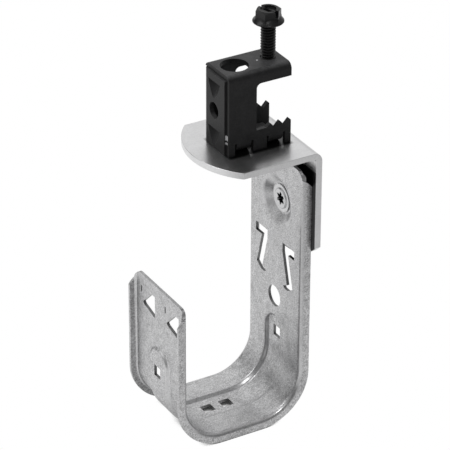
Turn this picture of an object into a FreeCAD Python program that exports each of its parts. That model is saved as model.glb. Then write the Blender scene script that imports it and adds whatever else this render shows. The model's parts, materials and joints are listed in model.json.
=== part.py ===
import FreeCAD, Part
import math
import os

import Sketcher
from FreeCAD import Placement, Rotation, Vector

# J hook cable support for structured cabling, hung from a beam flange.
#
# A folded galvanised sheet hook is riveted to the leg of a galvanised angle bracket. A black
# folded beam clamp is riveted on top of the bracket, and its hex washer head screw grips the
# beam flange against the toothed lower jaw.
#
# Frame: Z is up. The origin lies on the screw's axis, level with the tips of the jaw teeth and
# midway between the two jaw panels. X runs from the hook's front leg to its rear leg, so the
# jaw opens towards +X. All sizes are in millimetres.

document = FreeCAD.newDocument("j_hook_cable_support")
sheet = document.addObject("Spreadsheet::Sheet", "sizes")


class Size:
    """A number together with the expression that works it out from the sheet's cells."""

    def __init__(self, value, text=None):
        self.value = float(value)
        self.text = repr(float(value)) if text is None else text

    def __add__(self, other):
        other = as_size(other)
        return Size(self.value + other.value, f"({self.text} + {other.text})")

    def __sub__(self, other):
        other = as_size(other)
        return Size(self.value - other.value, f"({self.text} - {other.text})")

    def __mul__(self, other):
        other = as_size(other)
        return Size(self.value * other.value, f"({self.text} * {other.text})")

    def __truediv__(self, other):
        other = as_size(other)
        return Size(self.value / other.value, f"({self.text} / {other.text})")

    def __neg__(self):
        return Size(-self.value, f"(-1 * {self.text})")

    def __radd__(self, other):
        return as_size(other) + self

    def __rsub__(self, other):
        return as_size(other) - self

    def __rmul__(self, other):
        return as_size(other) * self

    def root(self):
        return Size(math.sqrt(self.value), f"sqrt({self.text})")


def as_size(number):
    return number if isinstance(number, Size) else Size(number)


def cell(alias, value):
    """Add one driving size to the sheet and give it back."""
    cell.row += 1
    sheet.set(f"A{cell.row}", alias.replace("_", " "))
    sheet.set(f"B{cell.row}", str(value))
    sheet.setAlias(f"B{cell.row}", alias)
    return Size(value, f"sizes.{alias}")


cell.row = 0

# Hook: one folded sheet
hook_opening = cell("hook_opening", 55.0)
hook_width = cell("hook_width", 43.6)
hook_sheet = cell("hook_sheet", 1.3)
flange_height = cell("flange_height", 4.5)
flange_bend = cell("flange_bend", 2.35)
front_bend = cell("front_bend", 17.5)
rear_bend = cell("rear_bend", 18.5)
front_leg_height = cell("front_leg_height", 65.2)
rear_leg_height = cell("rear_leg_height", 115.4)
leg_corner = cell("leg_corner", 3.6)
flange_taper = cell("flange_taper", 3.8)
flange_taper_radius = cell("flange_taper_radius", 8.0)

# Stiffening band pressed into the hook, away from the cables
band_width = cell("band_width", 15.6)
band_depth = cell("band_depth", 1.5)
band_top = cell("band_top", 36.2)

# Holes in the hook
square_hole = cell("square_hole", 5.2)
front_square_height = cell("front_square_height", 25.0)
rear_square_height = cell("rear_square_height", 27.2)
bottom_square_start = cell("bottom_square_start", 22.0)
bottom_square_pitch = cell("bottom_square_pitch", 9.0)
round_hole = cell("round_hole", 9.9)
round_hole_height = cell("round_hole_height", 45.7)
window_height = cell("window_height", 10.4)
window_width = cell("window_width", 10.3)
window_bottom = cell("window_bottom", 48.9)
window_pitch = cell("window_pitch", 20.5)
slit_width = cell("slit_width", 0.8)
slit_height = cell("slit_height", 3.0)
clip_slot_inner = cell("clip_slot_inner", 6.2)
clip_slot_width = cell("clip_slot_width", 9.6)
clip_slot_bar = cell("clip_slot_bar", 4.2)
clip_slot_leg = cell("clip_slot_leg", 4.6)
clip_slot_lean = cell("clip_slot_lean", 4.0)
clip_slot_tail = cell("clip_slot_tail", 1.0)
clip_slot_foot = cell("clip_slot_foot", 2.4)
clip_slot_height = cell("clip_slot_height", 21.6)
clip_slot_bottom = cell("clip_slot_bottom", 53.6)

# Dish that brings the hook's rear leg back to the bracket
dish_width = cell("dish_width", 24.0)
dish_floor = cell("dish_floor", 14.6)

# Angle bracket: one folded plate
bracket_width = cell("bracket_width", 49.4)
bracket_sheet = cell("bracket_sheet", 2.85)
bracket_bend = cell("bracket_bend", 1.25)
bracket_end_radius = cell("bracket_end_radius", 34.4)
plate_length = cell("plate_length", 48.0)
leg_length = cell("leg_length", 55.7)
leg_reach = cell("leg_reach", 12.0)
flange_clearance = cell("flange_clearance", 0.1)

# Beam clamp: one folded sheet
clamp_length = cell("clamp_length", 30.5)
clamp_width = cell("clamp_width", 19.4)
clamp_height = cell("clamp_height", 36.2)
clamp_sheet = cell("clamp_sheet", 2.0)
clamp_bend = cell("clamp_bend", 2.8)
channel_setback = cell("channel_setback", 0.9)
screw_margin = cell("screw_margin", 5.6)
column_width = cell("column_width", 14.0)
column_corner = cell("column_corner", 2.2)
jaw_height = cell("jaw_height", 10.6)
jaw_gap = cell("jaw_gap", 19.8)
jaw_notch = cell("jaw_notch", 1.4)
tooth_pitch = cell("tooth_pitch", 4.5)
tooth_depth = cell("tooth_depth", 2.4)
tooth_lead = cell("tooth_lead", 0.5)
web_width = cell("web_width", 17.1)
web_seam = cell("web_seam", 0.35)
tab_to_collar = cell("tab_to_collar", 0.1)
tab_width = cell("tab_width", 7.0)
tab_start = cell("tab_start", 4.7)
tab_pitch = cell("tab_pitch", 15.2)
tab_relief = cell("tab_relief", 0.9)
floor_start = cell("floor_start", 3.4)
floor_gap = cell("floor_gap", 0.4)

# Holes and lanced scoops in the clamp
rod_hole = cell("rod_hole", 7.2)
rod_hole_height = cell("rod_hole_height", 17.2)
top_hole = cell("top_hole", 12.0)
top_hole_reach = cell("top_hole_reach", 16.0)
scoop_width = cell("scoop_width", 9.6)
scoop_depth = cell("scoop_depth", 2.9)
scoop_height = cell("scoop_height", 7.9)
scoop_wall = cell("scoop_wall", 1.3)
upper_scoop_top = cell("upper_scoop_top", 30.4)
lower_scoop_top = cell("lower_scoop_top", 9.0)

# Clamp screw: slotted indented hex washer head
screw_diameter = cell("screw_diameter", 6.35)
screw_length = cell("screw_length", 25.4)
screw_standoff = cell("screw_standoff", 16.0)
screw_clearance = cell("screw_clearance", 0.1)
screw_point = cell("screw_point", 0.55)
washer_diameter = cell("washer_diameter", 13.2)
washer_height = cell("washer_height", 0.9)
washer_slope = cell("washer_slope", 0.3)
hex_across = cell("hex_across", 9.5)
head_height = cell("head_height", 5.8)
head_chamfer = cell("head_chamfer", 0.5)
recess_diameter = cell("recess_diameter", 6.6)
recess_depth = cell("recess_depth", 1.0)
slot_width = cell("slot_width", 1.8)
slot_depth = cell("slot_depth", 2.6)
slot_turn = cell("slot_turn", 105.0)

# Tubular rivets: a large one through the hook, a smaller one through the clamp's floor
rivet_drop = cell("rivet_drop", 32.3)
rivet_margin = cell("rivet_margin", 22.4)
rivet_clearance = cell("rivet_clearance", 0.1)
hook_rivet_shank = cell("hook_rivet_shank", 7.9)
hook_rivet_collar = cell("hook_rivet_collar", 12.7)
hook_rivet_bore = cell("hook_rivet_bore", 6.0)
clamp_rivet_shank = cell("clamp_rivet_shank", 6.35)
clamp_rivet_collar = cell("clamp_rivet_collar", 8.7)
clamp_rivet_bore = cell("clamp_rivet_bore", 4.6)
rivet_head_overhang = cell("rivet_head_overhang", 2.6)
rivet_head_height = cell("rivet_head_height", 1.5)
rivet_bore_floor = cell("rivet_bore_floor", 1.6)
collar_height = cell("collar_height", 1.2)
collar_slope = cell("collar_slope", 0.5)
star_points = cell("star_points", 6)
star_reach = cell("star_reach", 1.1)
star_waist = cell("star_waist", 0.3)

document.recompute()

# Levels and places shared by several pieces, seen from the frame's origin
plate_top = -jaw_height
leg_inner_face = leg_reach - bracket_sheet
hook_rear_face = leg_inner_face - flange_clearance - flange_height
rivet_level = plate_top - rivet_drop
hook_bottom = rivet_level + rivet_margin - rear_leg_height
clamp_face = screw_margin - clamp_length
hook_rivet_hole = hook_rivet_shank + 2 * rivet_clearance
clamp_rivet_hole = clamp_rivet_shank + 2 * rivet_clearance
dish_depth = leg_inner_face - hook_rear_face - hook_sheet
tab_bend = (clamp_width - clamp_rivet_collar) / 2 - tab_to_collar

# How far a cutting tool runs past the faces it cuts
overrun = 1.0


def bind(target, name, size):
    """Drive one property of an object by the sheet."""
    target.setExpression(name, as_size(size).text)


def start_body(label, base, rotation=None):
    """A body with its own label, put at its place in the frame."""
    body = document.addObject("PartDesign::Body", label)
    body.Label = label
    body.Placement = Placement(Vector(*[as_size(place).value for place in base]), rotation or Rotation())
    for axis, place in zip("xyz", base):
        bind(body, f"Placement.Base.{axis}", place)
    return body


def origin_plane(body, role):
    return next(plane for plane in body.Origin.OriginFeatures if plane.Role == role)


def start_sketch(body, name, role, offset=0):
    """A sketch on one of the body's own origin planes, moved along the plane's normal."""
    sketch = body.newObject("Sketcher::SketchObject", name)
    sketch.AttachmentSupport = [(origin_plane(body, role), "")]
    sketch.MapMode = "FlatFace"
    bind(sketch, "AttachmentOffset.Base.z", offset)
    return sketch


def arc_between(start, end, radius):
    """The shorter arc from start to end. A positive radius turns left, a negative one right."""
    chord = end.sub(start)
    middle = start.add(end).multiply(0.5)
    left = Vector(-chord.y, chord.x, 0).normalize()
    rise = math.sqrt(max(radius ** 2 - (chord.Length / 2) ** 2, 0))
    centre = middle.add(left.multiply(math.copysign(rise, radius)))
    first, last = (start, end) if radius > 0 else (end, start)
    angles = [math.atan2(point.y - centre.y, point.x - centre.x) for point in (first, last)]
    if angles[1] < angles[0]:
        angles[1] += 2 * math.pi
    circle = Part.Circle(centre, Vector(0, 0, 1), abs(radius))
    return Part.ArcOfCircle(circle, *angles)


def draw(sketch, corners, closed=True):
    """Draw an outline whose corners and radii follow the sheet.

    A corner is (x, y), or (x, y, radius) where the edge that leaves it is an arc.
    """
    corners = [tuple(as_size(number) for number in corner) for corner in corners]
    spots = [Vector(corner[0].value, corner[1].value, 0) for corner in corners]
    edges = len(corners) if closed else len(corners) - 1
    starts = []
    ends = []
    for index in range(edges):
        following = (index + 1) % len(corners)
        radius = corners[index][2] if len(corners[index]) > 2 else None
        if radius is None:
            edge = sketch.addGeometry(Part.LineSegment(spots[index], spots[following]))
            starts.append((edge, 1))
            ends.append((edge, 2))
            continue
        arc = arc_between(spots[index], spots[following], radius.value)
        edge = sketch.addGeometry(arc)
        starts.append((edge, 1) if radius.value > 0 else (edge, 2))
        ends.append((edge, 2) if radius.value > 0 else (edge, 1))
        number = sketch.addConstraint(Sketcher.Constraint("Radius", edge, abs(radius.value)))
        bind(sketch, f"Constraints[{number}]", radius if radius.value > 0 else -radius)
    for index in range(edges if closed else edges - 1):
        following = (index + 1) % edges
        sketch.addConstraint(Sketcher.Constraint("Coincident", *ends[index], *starts[following]))
    held = starts if closed else starts + [ends[-1]]
    for (edge, end), corner in zip(held, corners):
        for kind, place in zip(("DistanceX", "DistanceY"), corner):
            number = sketch.addConstraint(Sketcher.Constraint(kind, -1, 1, edge, end, place.value))
            bind(sketch, f"Constraints[{number}]", place)


def draw_circle(sketch, x, y, diameter):
    x, y, diameter = as_size(x), as_size(y), as_size(diameter)
    circle = Part.Circle(Vector(x.value, y.value, 0), Vector(0, 0, 1), diameter.value / 2)
    edge = sketch.addGeometry(circle)
    number = sketch.addConstraint(Sketcher.Constraint("Diameter", edge, diameter.value))
    bind(sketch, f"Constraints[{number}]", diameter)
    for kind, place in (("DistanceX", x), ("DistanceY", y)):
        number = sketch.addConstraint(Sketcher.Constraint(kind, -1, 1, edge, 3, place.value))
        bind(sketch, f"Constraints[{number}]", place)


def rectangle(left, bottom, right, top):
    return [(left, bottom), (right, bottom), (right, top), (left, top)]


def pad(body, name, sketch, length, midplane=False, reversed_way=False):
    feature = body.newObject("PartDesign::Pad", name)
    feature.Profile = sketch
    bind(feature, "Length", length)
    feature.Midplane = midplane
    feature.Reversed = reversed_way
    return feature


def pocket(body, name, sketch, length, midplane=False, reversed_way=False):
    feature = body.newObject("PartDesign::Pocket", name)
    feature.Profile = sketch
    bind(feature, "Length", length)
    feature.Midplane = midplane
    feature.Reversed = reversed_way
    return feature


def pipe(body, kind, name, profile, spine):
    feature = body.newObject(f"PartDesign::{kind}", name)
    feature.Profile = profile
    feature.Spine = (spine, [])
    return feature


def cone(body, kind, name, base, rotation, radii, height, angle=360):
    """A cone frustum whose first end stands at base. Its axis is the rotation's own Z."""
    feature = body.newObject(f"PartDesign::{kind}", name)
    feature.Placement = Placement(Vector(*[as_size(place).value for place in base]), rotation)
    for axis, place in zip("xyz", base):
        bind(feature, f"Placement.Base.{axis}", place)
    bind(feature, "Radius1", radii[0])
    bind(feature, "Radius2", radii[1])
    bind(feature, "Height", height)
    feature.Angle = angle
    return feature


def mirror(body, name, features, role):
    """Repeat features on the other side of one of the body's origin planes."""
    document.recompute()
    feature = body.newObject("PartDesign::Mirrored", name)
    feature.Originals = features
    feature.MirrorPlane = (origin_plane(body, role), [""])
    body.Tip = feature
    return feature


# Turns that point a cone's axis along the frame
TO_PLUS_X = Rotation(Vector(0, 0, 1), Vector(1, 0, 0))
TO_MINUS_X = Rotation(Vector(0, 0, 1), Vector(-1, 0, 0))


def hook_spine(body, name, front_end, rear_end):
    """The J that the sheet's cable side follows, from the rear leg round to the front leg."""
    spine = start_sketch(body, name, "XZ_Plane")
    draw(spine, [
        (hook_opening, rear_end),
        (hook_opening, rear_bend, -rear_bend),
        (hook_opening - rear_bend, 0),
        (front_bend, 0, -front_bend),
        (0, front_bend),
        (0, front_end),
    ], closed=False)
    return spine


def hook_channel(body):
    """Web and two flanges, swept along the J as one channel. The folds are flat on their inside."""
    spine = hook_spine(body, "hook_line", front_leg_height, rear_leg_height)
    side = hook_width / 2
    edge = hook_opening + flange_height
    bend = hook_opening + flange_bend
    profile = start_sketch(body, "channel_section", "XY_Plane", rear_leg_height)
    draw(profile, [
        (edge, -side),
        (edge, hook_sheet - side),
        (bend, hook_sheet - side),
        (hook_opening + hook_sheet, flange_bend - side),
        (hook_opening + hook_sheet, side - flange_bend),
        (bend, side - hook_sheet),
        (edge, side - hook_sheet),
        (edge, side),
        (bend, side, flange_bend),
        (hook_opening, side - flange_bend),
        (hook_opening, flange_bend - side, flange_bend),
        (bend, -side),
    ])
    pipe(body, "AdditivePipe", "channel", profile, spine)


def band_skin(body, kind, name, half_width, start, depth):
    """One face of the pressed band: a flat bar along the J with a half round end on each leg.

    Its sides slope at 45 degrees. start and depth are measured from the sheet's cable side.
    """
    shoulder = band_top - band_width / 2
    spine = hook_spine(body, f"{name}_line", shoulder, shoulder)
    floor_half = half_width - (depth - start)
    profile = start_sketch(body, f"{name}_section", "XY_Plane", shoulder)
    draw(profile, [
        (hook_opening + start, -half_width),
        (hook_opening + depth, -floor_half),
        (hook_opening + depth, floor_half),
        (hook_opening + start, half_width),
    ])
    pipe(body, f"{kind}Pipe", f"{name}_bar", profile, spine)
    ends = ((hook_opening + start, TO_PLUS_X, "rear"), (-start, TO_MINUS_X, "front"))
    for place, rotation, leg in ends:
        cone(body, f"{kind}Cone", f"{name}_{leg}_end", (place, 0, shoulder), rotation,
             (half_width, floor_half), depth - start)


def hook_band(body):
    """Press the band outwards: add its outer skin, then take out its hollow."""
    half_width = band_width / 2
    slope_shift = hook_sheet * math.sqrt(2)
    skin_start = hook_sheet / 2
    band_skin(body, "Additive", "band_skin", half_width + slope_shift - skin_start, skin_start,
              band_depth + hook_sheet)
    hollow_start = -hook_sheet / 2
    band_skin(body, "Subtractive", "band_hollow", half_width - hollow_start, hollow_start, band_depth)


def hook_dish(body):
    """The round dish whose floor lies flat against the bracket leg."""
    level = rear_leg_height - rivet_margin
    slope = (dish_width - dish_floor) / 2 / dish_depth
    skin_start = hook_sheet / 2
    hollow_start = -hook_sheet / 2
    cone(body, "AdditiveCone", "dish_skin", (hook_opening + skin_start, 0, level), TO_PLUS_X,
         (dish_width / 2 + hook_sheet - slope * skin_start, dish_floor / 2 + hook_sheet),
         dish_depth + hook_sheet - skin_start)
    cone(body, "SubtractiveCone", "dish_hollow", (hook_opening + hollow_start, 0, level), TO_PLUS_X,
         (dish_width / 2 - slope * hollow_start, dish_floor / 2), dish_depth - hollow_start)


def trim_leg(body, leg, web_face, outward, top):
    """Round a leg's top corners and slope the ends of its two flanges."""
    side = hook_width / 2
    shoulder = top - leg_corner
    inner_side = side - hook_sheet
    depth = flange_height + 2 * overrun
    start = web_face + (flange_height + overrun if outward > 0 else overrun)
    corner = start_sketch(body, f"{leg}_corner", "YZ_Plane", start)
    draw(corner, [
        (inner_side - leg_corner, top, -leg_corner),
        (inner_side, shoulder),
        (inner_side, top + overrun),
        (inner_side - leg_corner, top + overrun),
    ])
    rounded = pocket(body, f"{leg}_corner_cut", corner, depth)
    end = start_sketch(body, f"{leg}_flange_end", "XZ_Plane", side + overrun)
    free_edge = web_face + outward * flange_height
    draw(end, [
        (web_face, shoulder, -outward * flange_taper_radius),
        (free_edge, shoulder - flange_taper),
        (free_edge + outward * overrun, shoulder - flange_taper),
        (free_edge + outward * overrun, top + overrun),
        (web_face - outward * overrun, top + overrun),
        (web_face - outward * overrun, shoulder),
    ])
    sloped = pocket(body, f"{leg}_flange_end_cut", end, hook_sheet + overrun)
    mirror(body, f"{leg}_other_side", [rounded, sloped], "XZ_Plane")


def rear_leg_cuts(body):
    """Round hole, rivet hole, square hole and the two mirrored clip slots."""
    tool_start = hook_opening + hook_sheet + dish_depth + overrun
    tool_length = hook_sheet + dish_depth + 2 * overrun
    holes = start_sketch(body, "rear_holes", "YZ_Plane", tool_start)
    draw_circle(holes, 0, round_hole_height, round_hole)
    draw_circle(holes, 0, rear_leg_height - rivet_margin, hook_rivet_hole)
    half = square_hole / 2
    draw(holes, rectangle(-half, rear_square_height - half, half, rear_square_height + half))
    pocket(body, "rear_hole_cut", holes, tool_length)

    inner = clip_slot_inner
    outer = inner + clip_slot_width
    bottom = clip_slot_bottom
    top = bottom + clip_slot_height
    bar_bottom = top - clip_slot_bar
    knee = bottom + clip_slot_foot
    lean = inner + clip_slot_lean
    slot = start_sketch(body, "clip_slot", "YZ_Plane", tool_start)
    draw(slot, [
        (inner, top),
        (inner, bar_bottom),
        (lean, knee),
        (inner + clip_slot_tail, bottom + clip_slot_tail),
        (inner + 2 * clip_slot_tail, bottom),
        (outer - 2 * clip_slot_foot, bottom),
        (lean + clip_slot_leg, knee),
        (inner + clip_slot_leg, bar_bottom),
        (outer, bar_bottom),
        (outer, top),
    ])
    cut = pocket(body, "clip_slot_cut", slot, tool_length)
    mirror(body, "clip_slot_pair", [cut], "XZ_Plane")


def front_leg_cuts(body):
    """Square hole, and two like windows each with a slit beside it."""
    half = square_hole / 2
    cuts = start_sketch(body, "front_cuts", "YZ_Plane", overrun)
    draw(cuts, rectangle(-half, front_square_height - half, half, front_square_height + half))
    bottom = window_bottom
    top = bottom + window_height
    for middle in (-window_pitch / 2, window_pitch / 2):
        near = middle - (window_width + 2 * slit_width) / 2
        far = near + window_width
        draw(cuts, [
            (near, bottom),
            (far - slit_width, bottom + 3 * slit_width),
            (far, bottom + 4 * slit_width),
            (near + slit_height, top),
            (near, top),
        ])
        draw(cuts, rectangle(far + slit_width, top - slit_height, far + 2 * slit_width, top))
    pocket(body, "front_cut", cuts, 2 * overrun + hook_sheet + band_depth)


def bottom_cuts(body):
    half = square_hole / 2
    holes = start_sketch(body, "bottom_holes", "XY_Plane", overrun)
    for number in range(2):
        middle = bottom_square_start + number * bottom_square_pitch
        draw(holes, rectangle(middle - half, -half, middle + half, half))
    pocket(body, "bottom_hole_cut", holes, 2 * overrun + hook_sheet + band_depth)


def make_j_hook():
    """The hook. Its own zero is the corner of the front leg's and the bottom's cable sides."""
    body = start_body("j_hook", (hook_rear_face - hook_opening, 0, hook_bottom))
    hook_channel(body)
    hook_band(body)
    hook_dish(body)
    trim_leg(body, "rear", hook_opening, 1, rear_leg_height)
    trim_leg(body, "front", as_size(0), -1, front_leg_height)
    rear_leg_cuts(body)
    front_leg_cuts(body)
    bottom_cuts(body)
    return body


def round_end(body, name, role, start, end, depth):
    """Round off a bracket end to an arc across its full width."""
    side = bracket_width / 2
    sagitta = bracket_end_radius - (bracket_end_radius * bracket_end_radius - side * side).root()
    shoulder = end + sagitta
    past = end - overrun
    sketch = start_sketch(body, f"{name}_arc", role, start)
    if role == "XY_Plane":
        corners = [(shoulder, side, bracket_end_radius), (shoulder, -side), (past, -side), (past, side)]
    else:
        corners = [(-side, shoulder, bracket_end_radius), (side, shoulder), (side, past), (-side, past)]
    draw(sketch, corners)
    pocket(body, f"{name}_arc_cut", sketch, depth)


def make_angle_bracket():
    """The bracket. Its own zero is the corner of the plate's top and the leg's outer face."""
    body = start_body("angle_bracket", (leg_reach, 0, plate_top))
    outer_bend = bracket_bend + bracket_sheet
    profile = start_sketch(body, "bracket_section", "XZ_Plane")
    draw(profile, [
        (-plate_length, 0),
        (-plate_length, -bracket_sheet),
        (-outer_bend, -bracket_sheet, -bracket_bend),
        (-bracket_sheet, -outer_bend),
        (-bracket_sheet, -leg_length),
        (0, -leg_length),
        (0, -outer_bend, outer_bend),
        (-outer_bend, 0),
    ])
    pad(body, "bracket_fold", profile, bracket_width, midplane=True)
    depth = bracket_sheet + 2 * overrun
    round_end(body, "plate_end", "XY_Plane", overrun, -plate_length, depth)
    round_end(body, "leg_end", "YZ_Plane", overrun, -leg_length, depth)
    plate_hole = start_sketch(body, "plate_hole", "XY_Plane", overrun)
    draw_circle(plate_hole, -top_hole_reach - leg_reach, 0, clamp_rivet_hole)
    pocket(body, "plate_hole_cut", plate_hole, depth)
    leg_hole = start_sketch(body, "leg_hole", "YZ_Plane", overrun)
    draw_circle(leg_hole, 0, -rivet_drop, hook_rivet_hole)
    pocket(body, "leg_hole_cut", leg_hole, depth)
    return body


def clamp_channel(body):
    """Top plate and the two jaw panels, folded as an inverted channel."""
    side = clamp_width / 2
    inner = side - clamp_sheet
    inner_bend = clamp_bend - clamp_sheet
    top = clamp_height
    profile = start_sketch(body, "channel_section", "YZ_Plane", channel_setback)
    draw(profile, [
        (-side, 0),
        (-inner, 0),
        (-inner, top - clamp_bend, -inner_bend),
        (clamp_bend - side, top - clamp_sheet),
        (side - clamp_bend, top - clamp_sheet, -inner_bend),
        (inner, top - clamp_bend),
        (inner, 0),
        (side, 0),
        (side, top - clamp_bend, clamp_bend),
        (side - clamp_bend, top),
        (clamp_bend - side, top, clamp_bend),
        (-side, top - clamp_bend),
    ])
    pad(body, "channel", profile, clamp_length - channel_setback)


def clamp_jaw(body):
    """Open both panels to the toothed jaw. One tooth stands almost under the screw."""
    screw_place = clamp_length - screw_margin
    arm = jaw_height + jaw_gap
    notch = jaw_height - jaw_notch
    root = jaw_height - tooth_depth
    half_pitch = tooth_pitch / 2
    middle_tip = screw_place + tooth_lead
    teeth = [(middle_tip - tooth_pitch - half_pitch, notch)]
    for number in (-1, 0, 1):
        tip = middle_tip + number * tooth_pitch
        teeth += [(tip, jaw_height), (tip + half_pitch, root)]
    past = clamp_length + overrun
    opening = start_sketch(body, "jaw_opening", "XZ_Plane")
    draw(opening, [(column_width, notch)] + teeth + [
        (past, root),
        (past, arm),
        (column_width + column_corner, arm, column_corner),
        (column_width, arm - column_corner),
    ])
    pocket(body, "jaw_cut", opening, clamp_width + 2 * overrun, midplane=True)


def clamp_web(body):
    """The web, folded round from the far panel and open along its top and near edges."""
    side = clamp_width / 2
    height = clamp_height - clamp_sheet - web_seam
    inner_bend = clamp_bend - clamp_sheet
    room = start_sketch(body, "web_room", "XY_Plane", height + web_seam)
    draw(room, rectangle(-overrun, side - clamp_sheet, clamp_bend, side + overrun))
    pocket(body, "web_room_cut", room, height + web_seam + overrun)
    profile = start_sketch(body, "web_section", "XY_Plane")
    draw(profile, [
        (0, side - web_width),
        (clamp_sheet, side - web_width),
        (clamp_sheet, side - clamp_bend, -inner_bend),
        (clamp_bend, side - clamp_sheet),
        (clamp_bend, side, clamp_bend),
        (0, side - clamp_bend),
    ])
    pad(body, "web", profile, height)


def clamp_floor(body):
    """The floor, folded under from the near panel through two narrow tabs."""
    side = clamp_width / 2
    inner_bend = tab_bend - clamp_sheet
    tab_places = (tab_start, tab_start + tab_pitch)
    relief = start_sketch(body, "tab_relief", "XZ_Plane", side + overrun)
    for place in tab_places:
        draw(relief, rectangle(place - tab_relief, -overrun, place + tab_width + tab_relief, tab_bend))
    pocket(body, "tab_relief_cut", relief, overrun + clamp_sheet + clamp_sheet / 2)
    for number, place in enumerate(tab_places, 1):
        profile = start_sketch(body, f"tab_{number}_section", "YZ_Plane", place)
        draw(profile, [
            (-side, tab_bend, tab_bend),
            (tab_bend - side, 0),
            (tab_bend - side, clamp_sheet, -inner_bend),
            (clamp_sheet - side, tab_bend),
        ])
        pad(body, f"tab_{number}", profile, tab_width)
    floor = start_sketch(body, "floor_section", "YZ_Plane", floor_start)
    draw(floor, rectangle(tab_bend - side, 0, side - clamp_sheet - floor_gap, clamp_sheet))
    pad(body, "floor", floor, clamp_length - 2 * floor_start)


def clamp_scoops(body):
    """Two scoops lanced in the web, deepest at their open upper ends."""
    half_width = scoop_width / 2
    radius = (half_width * half_width + scoop_depth * scoop_depth) / (2 * scoop_depth)
    stand_off = radius - scoop_depth
    middle = (clamp_width - web_width) / 2
    scoops = (("upper", upper_scoop_top), ("lower", lower_scoop_top))
    for name, top in scoops:
        cone(body, "AdditiveCone", f"{name}_scoop_skin", (-stand_off, middle, top - scoop_height),
             Rotation(), (stand_off + scoop_wall, radius + scoop_wall), scoop_height)
    face = start_sketch(body, "web_face", "YZ_Plane")
    reach = radius + scoop_wall
    draw(face, rectangle(middle - reach, -overrun, middle + reach, clamp_height))
    pocket(body, "web_face_cut", face, reach + stand_off)
    for name, top in scoops:
        cone(body, "SubtractiveCone", f"{name}_scoop_hollow", (-stand_off, middle, top - scoop_height),
             Rotation(), (stand_off, radius), scoop_height)


def clamp_holes(body):
    """The screw's hole, the wide top hole over the rivet, the rod hole and the rivet hole."""
    screw_place = clamp_length - screw_margin
    rivet_place = screw_place - top_hole_reach
    top = start_sketch(body, "top_holes", "XY_Plane", clamp_height + overrun)
    draw_circle(top, screw_place, 0, screw_diameter + 2 * screw_clearance)
    draw_circle(top, rivet_place, 0, top_hole)
    pocket(body, "top_hole_cut", top, clamp_sheet + 2 * overrun)
    web = start_sketch(body, "rod_hole", "YZ_Plane", clamp_sheet + overrun)
    draw_circle(web, (clamp_width - web_width) / 2, rod_hole_height, rod_hole)
    pocket(body, "rod_hole_cut", web, clamp_sheet + 2 * overrun)
    floor = start_sketch(body, "floor_hole", "XY_Plane", clamp_sheet + overrun)
    draw_circle(floor, rivet_place, 0, clamp_rivet_hole)
    pocket(body, "floor_hole_cut", floor, clamp_sheet + 2 * overrun)


def make_clamp_body():
    """The clamp. Its own zero is the foot of the web's outer face, on the bracket's plate."""
    body = start_body("clamp_body", (clamp_face, 0, plate_top))
    clamp_channel(body)
    clamp_jaw(body)
    clamp_web(body)
    clamp_floor(body)
    clamp_scoops(body)
    clamp_holes(body)
    return body


def turned(body, kind, name, corners):
    """Turn an outline of (radius, height) corners about the body's own Z axis."""
    sketch = start_sketch(body, f"{name}_outline", "XZ_Plane")
    draw(sketch, corners)
    feature = body.newObject(f"PartDesign::{kind}", name)
    feature.Profile = sketch
    feature.ReferenceAxis = (sketch, ["V_Axis"])
    feature.Angle = 360
    return feature


def make_clamp_screw():
    """The screw. Its own zero is the underside of the head's washer, on the screw's axis."""
    level = plate_top + clamp_height + screw_standoff
    turn = Rotation(Vector(0, 0, 1), slot_turn.value)
    body = start_body("clamp_screw", (0, 0, level), turn)
    radius = screw_diameter / 2
    washer = washer_diameter / 2
    turned(body, "Revolution", "shank_and_washer", [
        (0, -screw_length),
        (radius - screw_point, -screw_length),
        (radius, screw_point - screw_length),
        (radius, 0),
        (washer, 0),
        (washer - washer_slope, washer_height),
        (0, washer_height),
    ])
    hexagon = start_sketch(body, "hexagon", "XY_Plane", washer_height / 2)
    corner = hex_across / math.sqrt(3)
    draw(hexagon, [(corner * math.cos(math.radians(angle)), corner * math.sin(math.radians(angle)))
                   for angle in range(0, 360, 60)])
    pad(body, "hex_head", hexagon, head_height - washer_height / 2)
    crown = hex_across / 2 - head_chamfer
    past_corner = corner + overrun
    chamfer_drop = (past_corner - crown) / math.sqrt(3)
    turned(body, "Groove", "head_chamfer", [
        (crown, head_height),
        (past_corner, head_height - chamfer_drop),
        (past_corner, head_height + overrun),
        (crown, head_height + overrun),
    ])
    recess = start_sketch(body, "recess", "XY_Plane", head_height + overrun)
    draw_circle(recess, 0, 0, recess_diameter)
    pocket(body, "recess_cut", recess, recess_depth + overrun)
    slot = start_sketch(body, "slot", "XY_Plane", head_height + overrun)
    draw(slot, rectangle(-past_corner, -slot_width / 2, past_corner, slot_width / 2))
    pocket(body, "slot_cut", slot, slot_depth + overrun)
    return body


def make_rivet(label, base, rotation, grip, sizes):
    """A tubular rivet. Its own zero is the face that its collar bears on, and grip its plates.

    Its far end is a factory head. The near end is set: the tube is rolled out to a collar,
    which is split like a star. sizes are the diameters of the shank, collar and bore.
    """
    body = start_body(label, base, rotation)
    shank, collar, bore = (diameter / 2 for diameter in sizes)
    head = shank + rivet_head_overhang
    head_end = -grip - rivet_head_height
    bore_end = head_end + rivet_bore_floor
    turned(body, "Revolution", "rivet", [
        (0, head_end),
        (head, head_end),
        (head, -grip),
        (shank, -grip),
        (shank, 0),
        (collar, 0),
        (collar - collar_slope, collar_height),
        (bore, collar_height),
        (bore, bore_end),
        (0, bore_end),
    ])
    split = start_sketch(body, "collar_split", "XY_Plane", collar_height + overrun)
    points = int(star_points.value)
    star = []
    for number in range(points):
        for reach, part_turn in ((bore + star_reach, 0), (bore - star_waist, 0.5)):
            angle = math.radians(360 * (number + part_turn) / points)
            star.append((reach * math.cos(angle), reach * math.sin(angle)))
    draw(split, star)
    pocket(body, "collar_split_cut", split, collar_height + overrun)
    return body


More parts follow.
